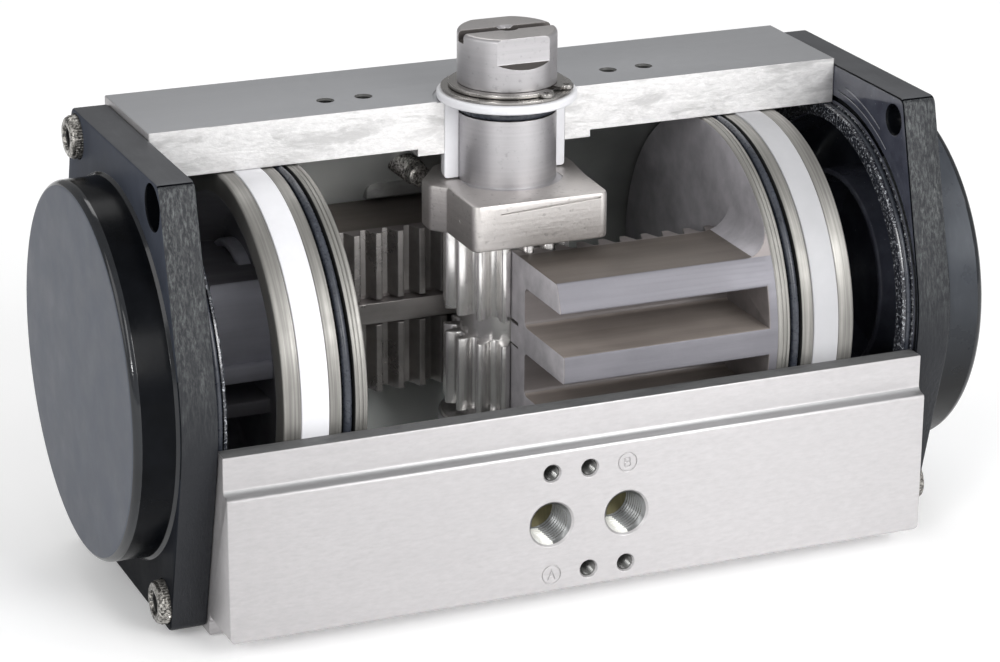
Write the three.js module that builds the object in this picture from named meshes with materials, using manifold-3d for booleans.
// Cutaway double-acting rack-and-pinion pneumatic quarter-turn valve actuator.
// Units mm. +X (right) along the cylinder, +Y to the back, +Z up along the pinion.
// Everything is laid out about the crossing of the cylinder and pinion axes,
// then raised by AXIS_H so the bottom mounting face is z = 0.
import * as THREE from 'three';
import { mergeVertices } from 'three/addons/utils/BufferGeometryUtils.js';
import Module from 'manifold-3d';

const wasm = await Module();
wasm.setup();

// ------------------------------------------------------------ shared sizes
const AXIS_H = 69;                 // cylinder axis above the mounting face
const HALF_L = 111;                // half length of the barrel
const BIG_SEG = 40;                // facets of the big rounds
const CUT_Y = 1.2;                 // the cutaway takes y < CUT_Y and z > CUT_Z
const CUT_Z = -8.2;
const SIDES = [['left', -1], ['right', 1]];

// cap screws: [name, y, z]; the front top corner is cut away
const SCREW_Y = 37;
const SCREW_Z = 59.5;
const SCREW_SEAT = 117.2;
const CORNERS = [
  ['rear_top', SCREW_Y, SCREW_Z],
  ['rear_bottom', SCREW_Y, -SCREW_Z],
  ['front_bottom', -SCREW_Y, -SCREW_Z],
];

// travel stop screws
const STOP_X = 19;
const STOP_Z = 39.6;
const STOP_HOLE_R = 4.1;

// gear and racks
const MODULE = 2.25;
const TEETH = 15;
const PITCH_R = MODULE * TEETH / 2;
const PITCH = Math.PI * MODULE;
const TOOTH_T = PITCH / 2 - 0.12;  // tooth thickness on the pitch line
const PRESSURE_ANGLE = 20 * Math.PI / 180;

// --------------------------------------------------------------- materials
const makeMaterial = ({ color, roughness, metalness }) =>
  new THREE.MeshStandardMaterial({ color: new THREE.Color(color), roughness, metalness });
const MATERIALS = {
  aluminium: makeMaterial({ color: '#b9b9ba', roughness: 0.42, metalness: 0.75 }),
  black: makeMaterial({ color: '#23252a', roughness: 0.42, metalness: 0.15 }),
  piston: makeMaterial({ color: '#77706a', roughness: 0.55, metalness: 0.6 }),
  nickel: makeMaterial({ color: '#b5aea4', roughness: 0.3, metalness: 0.85 }),
  steel: makeMaterial({ color: '#a39f99', roughness: 0.3, metalness: 0.9 }),
  white: makeMaterial({ color: '#efeff2', roughness: 0.5, metalness: 0 }),
  rubber: makeMaterial({ color: '#191a1e', roughness: 0.55, metalness: 0 }),
};

// ----------------------------------------------------- geometry and solids
function toSolid(source) {
  let geometry = source.index ? source.toNonIndexed() : source.clone();
  for (const key of Object.keys(geometry.attributes)) {
    if (key !== 'position') geometry.deleteAttribute(key);
  }
  geometry = mergeVertices(geometry, 1e-4);
  const index = geometry.index.array;
  const triangles = [];
  for (let i = 0; i < index.length; i += 3) {
    const [a, b, c] = index.slice(i, i + 3);
    if (a !== b && b !== c && a !== c) triangles.push(a, b, c);
  }
  return new wasm.Manifold(new wasm.Mesh({
    numProp: 3,
    vertProperties: new Float32Array(geometry.attributes.position.array),
    triVerts: new Uint32Array(triangles),
  }));
}

function toGeometry(solid) {
  const mesh = solid.getMesh();
  const geometry = new THREE.BufferGeometry();
  const positions = new Float32Array(mesh.vertProperties);
  geometry.setAttribute('position', new THREE.BufferAttribute(positions, 3));
  geometry.setIndex(new THREE.BufferAttribute(new Uint32Array(mesh.triVerts), 1));
  geometry.computeVertexNormals();
  return geometry;
}

const join = (...solids) => solids.reduce((sum, solid) => sum.add(solid));
const cut = (solid, ...tools) => tools.reduce((rest, tool) => rest.subtract(tool), solid);
const halfTurn = (solid) => solid.rotate([0, 0, 180]);

const basis = (...columns) => new THREE.Matrix4().makeBasis(
  ...columns.map((column) => new THREE.Vector3(...column)));

function counterClockwise(points) {
  let doubleArea = 0;
  points.forEach(([x, y], i) => {
    const [nextX, nextY] = points[(i + 1) % points.length];
    doubleArea += x * nextY - nextX * y;
  });
  return doubleArea < 0 ? points.slice().reverse() : points;
}

// Turned solid: profile [[radius, along], ...] about axis 'x', 'y' or 'z'.
// A profile that starts off the axis is closed into a ring.
function turn(profile, axis, segments) {
  const points = counterClockwise(profile).map(([r, t]) => new THREE.Vector2(r, t));
  if (profile[0][0] !== 0) points.push(points[0].clone());
  const geometry = new THREE.LatheGeometry(points, segments);
  if (axis === 'z') geometry.rotateX(Math.PI / 2);
  if (axis === 'x') geometry.applyMatrix4(basis([0, 1, 0], [1, 0, 0], [0, 0, -1]));
  return toSolid(geometry);
}

const rod = (r, axis, lo, hi, segments, at = [0, 0, 0]) =>
  turn([[0, lo], [r, lo], [r, hi], [0, hi]], axis, segments).translate(at);
const tube = (inner, outer, axis, lo, hi, segments) =>
  turn([[inner, lo], [outer, lo], [outer, hi], [inner, hi]], axis, segments);

// Prism from lo to hi along the axis.
// The outline is (y, z) for axis 'x', (x, z) for 'y' and (x, y) for 'z'.
function prism(outline, axis, lo, hi) {
  const shape = new THREE.Shape(
    counterClockwise(outline).map(([a, b]) => new THREE.Vector2(a, b)));
  const geometry = new THREE.ExtrudeGeometry(shape,
    { depth: hi - lo, bevelEnabled: false, steps: 1 });
  geometry.translate(0, 0, lo);
  if (axis === 'x') geometry.applyMatrix4(basis([0, 1, 0], [0, 0, 1], [1, 0, 0]));
  if (axis === 'y') {
    // this mapping mirrors, so the triangles are turned over as well
    geometry.applyMatrix4(basis([1, 0, 0], [0, 0, 1], [0, 1, 0]));
    flipTriangles(geometry.attributes.position.array);
  }
  return toSolid(geometry);
}

function flipTriangles(positions) {
  for (let i = 0; i < positions.length; i += 9) {
    const first = positions.slice(i, i + 3);
    positions.copyWithin(i, i + 3, i + 6);
    positions.set(first, i + 3);
  }
}

function block(x0, x1, y0, y1, z0, z1) {
  const geometry = new THREE.BoxGeometry(x1 - x0, y1 - y0, z1 - z0);
  geometry.translate((x0 + x1) / 2, (y0 + y1) / 2, (z0 + z1) / 2);
  return toSolid(geometry);
}

// ---------------------------------------------------------------- outlines
const polar = (r, angle) => [r * Math.cos(angle), r * Math.sin(angle)];

function arc(r, steps, start, end, centreX = 0, centreY = 0) {
  return Array.from({ length: steps + 1 }, (_, i) => {
    const [x, y] = polar(r, start + (end - start) * i / steps);
    return [centreX + x, centreY + y];
  });
}

const hexagon = (acrossFlats) =>
  arc(acrossFlats / Math.sqrt(3), 6, Math.PI / 6, Math.PI / 6 + 2 * Math.PI).slice(0, -1);

// circle of radius r with flats at y = +flat and y = -flat
function doubleD(r, flat) {
  const angle = Math.acos(flat / r);
  return [
    ...arc(r, 10, angle, Math.PI - angle),
    ...arc(r, 10, Math.PI + angle, 2 * Math.PI - angle),
  ];
}

// outline with its corners rounded, one radius per corner, 0 for sharp
function rounded(points, radii, steps) {
  const unit = ([x, y]) => {
    const length = Math.hypot(x, y);
    return [x / length, y / length];
  };
  return points.flatMap((corner, i) => {
    const r = radii[i];
    if (!r) return [corner];
    const [x, y] = corner;
    const before = points[(i + points.length - 1) % points.length];
    const after = points[(i + 1) % points.length];
    const u = unit([before[0] - x, before[1] - y]);
    const v = unit([after[0] - x, after[1] - y]);
    const halfAngle = Math.acos(u[0] * v[0] + u[1] * v[1]) / 2;
    const tangent = r / Math.tan(halfAngle);
    const reach = r / Math.sin(halfAngle);
    const middle = unit([u[0] + v[0], u[1] + v[1]]);
    const centreX = x + middle[0] * reach;
    const centreY = y + middle[1] * reach;
    const angleAlong = (way) =>
      Math.atan2(y + way[1] * tangent - centreY, x + way[0] * tangent - centreX);
    const start = angleAlong(u);
    let end = angleAlong(v);
    while (end - start > Math.PI) end -= 2 * Math.PI;
    while (start - end > Math.PI) end += 2 * Math.PI;
    return arc(r, steps, start, end, centreX, centreY);
  });
}

// ------------------------------------------------------------------- group
const group = new THREE.Group();
group.name = 'pneumatic_rack_and_pinion_valve_actuator';

function add(name, solid, material) {
  const raised = solid.translate([0, 0, AXIS_H]);
  const mesh = new THREE.Mesh(toGeometry(raised), material.clone());
  mesh.name = name;
  group.add(mesh);
}

// a right-hand part and the same part turned half round the pinion axis
function addPair(name, solid, material) {
  add(`right_${name}`, solid, material);
  add(`left_${name}`, halfTurn(solid), material);
}

// -------------------------------------------------------------------- body
const BORE_R = 55;
const BARREL_R = 61;
const HALF_W = 44.7;               // half width of the flat top and bottom
const PAD_Y = -63.8;               // front pad face
const PAD_TOP = -20.6;
const PAD_BOTTOM = -64;
const PAD_CHAMFER = 1.5;
const PORT_X = 12;
const PORT_Z = -42.6;
const PORT_R = 6.6;
// small holes in the front pad: [x, z from the port centres]
const PAD_HOLES = [[-12, 16], [0, 16], [0, -16], [12, -16]];
const PAD_HOLE_R = 2.4;
const TOP_HOLE_X = [-52, -40, 40, 52];
const TOP_HOLE_Y = 15;
const TOP_HOLE_R = 2.1;
// bottom mounting holes: [x and y offset, radius, top z]
const MOUNT_HOLES = [[36.06, 4.25, -54], [24.75, 3.4, -56]];
const SCREW_HOLE_R = 4.05;
const SCREW_HOLE_DEPTH = 18;
const STOP_BOSS_R = 8.6;

// flat top and bottom, round sides, front pad with a ledge, two stop bosses
function barrel() {
  const pad = [
    [-40, -5], [-60.5, -5], [-60.2, -19.3], [PAD_Y, PAD_TOP],
    [PAD_Y, PAD_BOTTOM + PAD_CHAMFER], [PAD_Y + PAD_CHAMFER, PAD_BOTTOM], [-40, PAD_BOTTOM],
  ];
  return join(
    block(-HALF_L, HALF_L, -HALF_W, HALF_W, -AXIS_H, AXIS_H),
    rod(BARREL_R, 'x', -HALF_L, HALF_L, BIG_SEG),
    prism(pad, 'x', -HALF_L, HALF_L),
    ...[1, -1].map((side) => rod(STOP_BOSS_R, 'y', 30, 55, 20, [side * STOP_X, 0, STOP_Z])));
}

// small raised pad inside the back wall, below a travel stop
function wallPad(side) {
  const outline = [[27.9, 26.3], [9.5, 26.3], [9.5, 31.4], [27.9, 31.4]]
    .map(([x, z]) => [side * x, z]);
  return prism(rounded(outline, [0, 0, 2.5, 2.5], 2), 'y', 44.8, 52);
}

// chamfered air port with a conical bottom
function portHole(side) {
  return turn([[0, -70], [PORT_R + 6.7, -70], [PORT_R, PAD_Y + 0.6],
    [PORT_R, -50.5], [0, -48.5]], 'y', 18).translate([side * PORT_X, 0, PORT_Z]);
}

function capScrewHoles() {
  const over = 1;                  // runs out past the barrel end
  const half = (SCREW_HOLE_DEPTH + over) / 2;
  const centre = HALF_L + over - half;
  return SIDES.flatMap(([, side]) => CORNERS.map(([, y, z]) =>
    rod(SCREW_HOLE_R, 'x', -half, half, 12, [side * centre, y, z])));
}

function mountingHoles() {
  return MOUNT_HOLES.flatMap(([offset, r, top]) => [-1, 1].flatMap((sx) => [-1, 1].map((sy) =>
    rod(r, 'z', -70, top, 12, [sx * offset, sy * offset, 0]))));
}

function body() {
  const bored = cut(barrel(), rod(BORE_R, 'x', -HALF_L - 1, HALF_L + 1, BIG_SEG));
  const padded = join(
    bored,
    block(-28, 28, -1, 16, 52.8, 56.5),            // ceiling pad at the upper journal
    wallPad(-1),
    wallPad(1));
  return cut(
    padded,
    block(-HALF_L - 1, HALF_L + 1, -80, CUT_Y, CUT_Z, 90),
    rod(19.6, 'z', 40, 80, 48),                    // upper journal
    rod(22, 'z', 68.7, 72, 48),                    // washer seat
    rod(24.05, 'z', -80, -40, 32),                 // lower journal
    ...TOP_HOLE_X.map((x) => rod(TOP_HOLE_R, 'z', 59, 72, 10, [x, TOP_HOLE_Y, 0])),
    portHole(-1),
    portHole(1),
    ...PAD_HOLES.map(([x, dz]) => rod(PAD_HOLE_R, 'y', -70, -54, 10, [x, 0, PORT_Z + dz])),
    rod(2.5, 'y', -55, -30, 8, [-PORT_X, 0, PORT_Z]),   // left port to the bore
    ...mountingHoles(),
    ...capScrewHoles(),
    ...[-1, 1].map((side) => rod(STOP_HOLE_R, 'y', 20, 60, 12, [side * STOP_X, 0, STOP_Z])));
}

// ---------------------------------------------------------------- end caps
const FLANGE_X1 = 122;
const FLANGE_HALF_W = 43;
const FLANGE_HALF_H = 67.3;
const FLANGE_R = 58;               // round of the wide middle
const FLANGE_CORNER_R = 3;
const DOME_X0 = 112;               // starts inside the flange
const DOME_X1 = 135;
const DOME_R = 56;

// corners joined to the wide middle by straight tangents
function flangeOutline() {
  const r = FLANGE_CORNER_R;
  const y = FLANGE_HALF_W - r;
  const z = FLANGE_HALF_H - r;
  const tangent = Math.atan2(z, y) - Math.acos((FLANGE_R - r) / Math.hypot(y, z));
  return [
    ...arc(FLANGE_R, 5, -tangent, tangent),
    ...arc(r, 3, tangent, Math.PI / 2, y, z),
    ...arc(r, 3, Math.PI / 2, Math.PI - tangent, -y, z),
    ...arc(FLANGE_R, 5, Math.PI - tangent, Math.PI + tangent),
    ...arc(r, 3, Math.PI + tangent, 1.5 * Math.PI, -y, -z),
    ...arc(r, 3, 1.5 * Math.PI, 2 * Math.PI - tangent, y, -z),
  ];
}

function endCap() {
  const dome = [[0, DOME_X0], [DOME_R, DOME_X0], [DOME_R, 130.4], [54.2, 133.6],
    [50.5, DOME_X1], [0, DOME_X1]];
  // collar that enters the bore, with the seal groove
  const collar = [[50, 107.4], [54.8, 107.4], [54.8, 108.4], [52.9, 108.4], [52.9, 110.6],
    [54.8, 110.6], [54.8, DOME_X0], [50, DOME_X0]];
  const hollow = [[0, 100], [49.6, 100], [49.6, 126], [45, 131], [0, 131]];
  const shell = cut(
    join(
      prism(flangeOutline(), 'x', HALF_L + 0.02, FLANGE_X1),
      turn(dome, 'x', BIG_SEG),
      turn(collar, 'x', BIG_SEG)),
    turn(hollow, 'x', BIG_SEG));
  const innerRing = tube(30.4, 32.4, 'x', DOME_X0, 132, BIG_SEG);
  const screwHoles = [-1, 1].flatMap((sy) => [-1, 1].flatMap((sz) => {
    const at = [0, sy * SCREW_Y, sz * SCREW_Z];
    return [rod(4.4, 'x', 105, 125, 10, at), rod(7, 'x', SCREW_SEAT, 140, 14, at)];
  }));
  return cut(join(shell, innerRing), ...screwHoles);
}

const capSeal = () => turn(
  [[53, 109.5], [53.5, 108.55], [54.8, 109], [54.8, 110], [53.5, 110.45]], 'x', BIG_SEG);

// --------------------------------------------------------------- fasteners
const STOP_TIP = 21.65;            // inner end of the stop screw
const STOP_END = 63.8;             // outer end
const STOP_R = 4;

// socket head screw pointing to -X, seat at x = 0
function capScrew() {
  const profile = [[0, -16], [3.8, -16], [3.8, 0.05], [6.5, 0.05], [6.5, 8], [0, 8]];
  return cut(turn(profile, 'x', 14), prism(hexagon(6), 'x', 4, 9));
}

function stopScrew() {
  const profile = [[0, STOP_TIP], [3.2, STOP_TIP], [STOP_R, STOP_TIP + 1.2],
    [STOP_R, STOP_END], [0, STOP_END]];
  return cut(turn(profile, 'y', 12), prism(hexagon(4), 'y', STOP_END - 4, STOP_END + 1));
}

const stopLockNut = () =>
  cut(prism(hexagon(13), 'y', 55.02, 60.5), rod(STOP_HOLE_R, 'y', 50, 64, 12));

// ------------------------------------------------------------------ pinion
const TIP_R = PITCH_R + MODULE;
const ROOT_R = 14.35;
const GEAR_Z0 = -27;
const GEAR_Z1 = 30;
const GROOVE_HALF_H = 3.7;         // plain groove between the two gear bands
const GROOVE_R = 13.9;
const SHAFT_R = 14.95;
const SHAFT_TOP = 89.8;
const FOOT_R = 20.5;
const FOOT_Z0 = -68.5;
const FOOT_Z1 = -30;
const SOCKET = 22;
const SOCKET_DEPTH = 24;
const CAM_Z0 = 30;
const CAM_Z1 = 44.5;
const FLAT_Y = 12.4;               // drive flats at the top of the shaft
const FLAT_Z = 82.1;

// involute gear with one tooth centred on -Y
function gearOutline() {
  const baseR = PITCH_R * Math.cos(PRESSURE_ANGLE);
  const involute = (r) => {
    const angle = Math.acos(baseR / r);
    return Math.tan(angle) - angle;
  };
  const baseHalf = TOOTH_T / 2 / PITCH_R + involute(PITCH_R);
  const flank = [ROOT_R, baseR + 0.3, PITCH_R + 0.4, TIP_R]
    .map((r) => [r, baseHalf - involute(Math.max(r, baseR))]);
  const outline = [];
  for (let i = 0; i < TEETH; i++) {
    const centre = -Math.PI / 2 + i * 2 * Math.PI / TEETH;
    outline.push(...flank.map(([r, half]) => polar(r, centre - half)));
    outline.push(...flank.map(([r, half]) => polar(r, centre + half)).reverse());
  }
  return outline;
}

// shaft from the foot up, as [radius, z]
const SHAFT_PROFILE = [
  [0, FOOT_Z0], [FOOT_R - 0.8, FOOT_Z0], [FOOT_R, FOOT_Z0 + 0.8],
  [FOOT_R, -62.6], [18.6, -62.6], [18.6, -58.8], [FOOT_R, -58.8],          // lower seal groove
  [FOOT_R, FOOT_Z1 - 1], [FOOT_R - 1, FOOT_Z1], [GROOVE_R, FOOT_Z1],
  [GROOVE_R, CAM_Z1 - 1], [SHAFT_R, CAM_Z1 - 1],
  [SHAFT_R, 65.1], [13.1, 65.1], [13.1, 67.6], [SHAFT_R, 67.6],            // upper seal groove
  [SHAFT_R, 72.6], [13.9, 72.6], [13.9, 74], [SHAFT_R, 74],                // ring groove
  [SHAFT_R, SHAFT_TOP - 1.1], [SHAFT_R - 1.1, SHAFT_TOP], [0, SHAFT_TOP],
];

// cutter for one drive flat, its lower face sloping down outwards
function driveFlat(side) {
  const outerY = 20;
  const slope = 0.56;
  const outline = [[FLAT_Y, FLAT_Z], [FLAT_Y, 95], [outerY, 95],
    [outerY, FLAT_Z - (outerY - FLAT_Y) * slope]];
  return prism(outline.map(([y, z]) => [side * y, z]), 'x', -20, 20);
}

function pinion() {
  const half = SOCKET / 2;
  return cut(
    join(
      prism(gearOutline(), 'z', GROOVE_HALF_H, GEAR_Z1),
      prism(gearOutline(), 'z', GEAR_Z0, -GROOVE_HALF_H),
      turn(SHAFT_PROFILE, 'z', 32),
      prism(doubleD(17, 15.1), 'z', CAM_Z0 - 0.5, CAM_Z1 - 0.1)),
    driveFlat(-1),
    driveFlat(1),
    block(-20, 20, -2, 2, SHAFT_TOP - 3, 95),      // top slot
    rod(2.6, 'z', SHAFT_TOP - 14, 95, 16),         // centre hole
    block(-half, half, -half, half, -80, FOOT_Z0 + SOCKET_DEPTH));
}

// stop cam corners: [x, y, corner radius]
const CAM_CORNERS = [
  [-21.6, -27, 2.6], [21.7, -27, 2.6], [22.6, -8, 0], [24.4, 6, 0], [24.4, 21.55, 2],
  [9, 21.55, 1.5], [-6, 22.6, 6], [-17, 17, 5], [-25.4, 5, 2], [-25.6, -1.5, 2], [-21.6, -6, 1],
];

function stopCam() {
  const points = CAM_CORNERS.map(([x, y]) => [x, y]);
  const radii = CAM_CORNERS.map(([, , r]) => r);
  return cut(
    prism(rounded(points, radii, 3), 'z', CAM_Z0 + 0.05, CAM_Z1),
    prism(doubleD(17.06, 15.16), 'z', 20, 60));
}

// ------------------------------------------- shaft bushes, washers, seals
const upperBush = () =>
  cut(tube(15.03, 19.55, 'z', 45, 68.6, 48), block(-30, 30, -30, CUT_Y, 30, 80));

// plain rings: [name, inner radius, outer radius, bottom z, top z, material]
const SHAFT_RINGS = [
  ['lower_bush', 20.64, 24, -67.5, -50.5, MATERIALS.white],
  ['thrust_washer', 15.06, 21, 68.72, 71.4, MATERIALS.white],
  ['steel_washer', 15.06, 19.8, 71.45, 72.5, MATERIALS.steel],
];

// shaft seal sections as [radius, z]
const SHAFT_SEALS = [
  ['upper_shaft_seal', [[13.2, 66.35], [13.7, 65.2], [14.95, 65.8], [14.95, 66.9], [13.7, 67.5]]],
  ['lower_shaft_seal',
    [[18.75, -60.7], [19.3, -62.4], [20.45, -61.3], [20.45, -60.1], [19.3, -59]]],
];

// external retaining ring, with a gap between two drilled lugs
function retainingRing() {
  const gapAngle = -0.95;
  const bottom = 72.7;
  const top = 73.9;
  const lugAngles = [-0.32, 0.32].map((offset) => gapAngle + offset);
  const gap = [
    polar(8, gapAngle - 0.28), polar(26, gapAngle - 0.085),
    polar(26, gapAngle + 0.085), polar(8, gapAngle + 0.28),
  ];
  const ring = join(
    tube(13.98, 17.6, 'z', bottom, top, 32),
    ...lugAngles.map((angle) => rod(2.3, 'z', bottom, top, 12, [...polar(18, angle), 0])));
  return cut(
    ring,
    prism(gap, 'z', 70, 76),
    ...lugAngles.map((angle) => rod(0.9, 'z', 70, 76, 8, [...polar(18.1, angle), 0])));
}

// ----------------------------------------------------------------- pistons
// Right piston: disc at +X, rack in front of the pinion with its teeth facing +Y.
const RACK_ADDENDUM = 2;
const RACK_DEDENDUM = 2.65;
const RACK_TIP_Y = -(PITCH_R - RACK_ADDENDUM);
const RACK_ROOT_Y = -(PITCH_R + RACK_DEDENDUM);
const PLATE_Y = -25.3;             // front of the toothed plate
const PLATE_OVERLAP = 0.3;
const RIB_Y = -60;                 // ribs reach forward to here before trimming
const RIB_R = 54.2;                // rib edges follow the bore
const RACK_TOP = 25.5;
const RACK_END = -4.5;             // free end of the rack
const WALL_X0 = 62.5;              // end wall of the rib pockets
const DISC_X0 = 65.3;
const DISC_X1 = 90.7;
const DISC_R = 54.6;
const RACK_X1 = DISC_X0 + 1;       // the rack runs into the disc
const FILLET_R = 8.5;              // blend from the rack to the disc
const BAND_X0 = 77;
const BAND_X1 = 85.5;
const SEAL_X0 = 69.2;
const SEAL_X1 = 73.3;

// row of rack teeth, one of them centred on x = phase
function rackRow(phase, z0, z1) {
  const slope = Math.tan(PRESSURE_ANGLE);
  const tipHalf = TOOTH_T / 2 - RACK_ADDENDUM * slope;
  const rootHalf = TOOTH_T / 2 + RACK_DEDENDUM * slope;
  const outline = [[RACK_END, PLATE_Y], [RACK_END, RACK_ROOT_Y]];
  for (let k = -1; k <= 9; k++) {
    const x = phase + k * PITCH;
    if (x - rootHalf > RACK_END) {
      outline.push([x - rootHalf, RACK_ROOT_Y], [x - tipHalf, RACK_TIP_Y]);
    } else if (x + tipHalf > RACK_END) {
      outline[1] = [RACK_END, RACK_TIP_Y];         // the free end cuts through this tooth
    }
    // At phase 0 the first of these leaves a thin sliver past the free end,
    // which the trim in rackArm shortens.
    if (x + rootHalf < RACK_X1) {
      outline.push([x + tipHalf, RACK_TIP_Y], [x + rootHalf, RACK_ROOT_Y]);
    } else {
      outline.push([RACK_X1, RACK_TIP_Y]);
    }
  }
  if (outline.at(-1)[0] < RACK_X1) outline.push([RACK_X1, RACK_ROOT_Y]);
  outline.push([RACK_X1, PLATE_Y]);
  return prism(outline, 'z', z0, z1);
}

// hollow blend from the top (side 1) or bottom (side -1) of the rack to the disc
function rackBlend(side) {
  const x = DISC_X0 - FILLET_R;
  const z = RACK_TOP + FILLET_R;
  const outline = [
    [x, RACK_TOP - 1], ...arc(FILLET_R, 5, -Math.PI / 2, 0, x, z),
    [RACK_X1, z], [RACK_X1, RACK_TOP - 1],
  ];
  return prism(outline.map(([px, pz]) => [px, side * pz]), 'y', RIB_Y, RACK_ROOT_Y);
}

function rackArm(phase) {
  const bar = (y0, y1, z0, z1) => block(RACK_END, RACK_X1, y0, y1, z0, z1);
  const plateFront = PLATE_Y - PLATE_OVERLAP;
  return join(
    rackRow(phase, 4.4, RACK_TOP),
    rackRow(phase, -RACK_TOP, -3.9),
    bar(plateFront, RACK_TIP_Y, -3.3, 3.3),        // bar between the tooth rows
    bar(plateFront, RACK_ROOT_Y - 0.4, -RACK_TOP, RACK_TOP),
    bar(RIB_Y, PLATE_Y, 17, RACK_TOP),             // three ribs
    bar(RIB_Y, PLATE_Y, -3.6, 4.8),
    bar(RIB_Y, PLATE_Y, -RACK_TOP, -17),
    block(WALL_X0, RACK_X1, RIB_Y, RACK_ROOT_Y, -RACK_TOP, RACK_TOP),
    rackBlend(-1),
    rackBlend(1),
  ).intersect(rod(RIB_R, 'x', RACK_END - 1, RACK_X1 + 1, 96));
}

// grooved disc with blocks and a ring in its hollow outer side
function pistonDisc() {
  const profile = [
    [0, DISC_X0], [DISC_R - 1, DISC_X0], [DISC_R, DISC_X0 + 1],
    [DISC_R, SEAL_X0], [51.4, SEAL_X0], [51.4, SEAL_X1], [DISC_R, SEAL_X1],
    [DISC_R, BAND_X0], [52.1, BAND_X0], [52.1, BAND_X1], [DISC_R, BAND_X1],
    [DISC_R, DISC_X1], [48, DISC_X1], [45.5, DISC_X1 - 14], [0, DISC_X1 - 15],
  ];
  const floor = DISC_X1 - 16;      // just under the floor of the hollow
  return join(
    turn(profile, 'x', BIG_SEG),
    block(floor, DISC_X1 + 3.3, -46, 0, -4.6, 21),
    block(floor, DISC_X1 + 3.3, -46, 2.2, -10, -4.5),
    block(floor, DISC_X1 + 2.3, -42, 0, -21.5, -17),
    tube(17.4, 20, 'x', floor, DISC_X1 - 10.5, 32).translate([0, -27, 5]));
}

const piston = (phase) => join(pistonDisc(), rackArm(phase));

const guideBand = () => tube(52.25, 54.86, 'x', BAND_X0 + 0.1, BAND_X1 - 0.1, BIG_SEG);

function pistonSeal() {
  const middle = (SEAL_X0 + SEAL_X1) / 2;
  return turn([[51.6, middle], [52.2, middle - 1.75], [54.86, middle - 0.8],
    [54.86, middle + 0.8], [52.2, middle + 1.75]], 'x', BIG_SEG);
}

// ---------------------------------------------------------------- assembly
add('body', body(), MATERIALS.aluminium);
addPair('end_cap', endCap(), MATERIALS.black);
addPair('cap_seal', capSeal(), MATERIALS.rubber);
for (const [name, side] of SIDES) {
  const screw = side > 0 ? capScrew() : halfTurn(capScrew());
  for (const [corner, y, z] of CORNERS) {
    const placed = screw.translate([side * SCREW_SEAT, y, z]);
    add(`${name}_cap_screw_${corner}`, placed, MATERIALS.steel);
  }
}
for (const [name, side] of SIDES) {
  const at = [side * STOP_X, 0, STOP_Z];
  add(`${name}_stop_screw`, stopScrew().translate(at), MATERIALS.steel);
  add(`${name}_stop_lock_nut`, stopLockNut().translate(at), MATERIALS.steel);
}
add('pinion', pinion(), MATERIALS.nickel);
add('stop_cam', stopCam(), MATERIALS.nickel);
add('upper_bush', upperBush(), MATERIALS.white);
for (const [name, inner, outer, bottom, top, material] of SHAFT_RINGS) {
  add(name, tube(inner, outer, 'z', bottom, top, 32), material);
}
for (const [name, section] of SHAFT_SEALS) add(name, turn(section, 'z', 32), MATERIALS.rubber);
add('retaining_ring', retainingRing(), MATERIALS.steel);
// the left rack is cut half a pitch over because the tooth count is odd
add('right_piston', piston(PITCH / 2), MATERIALS.piston);
add('left_piston', halfTurn(piston(0)), MATERIALS.piston);
addPair('guide_band', guideBand(), MATERIALS.white);
addPair('piston_seal', pistonSeal(), MATERIALS.rubber);

export default group;
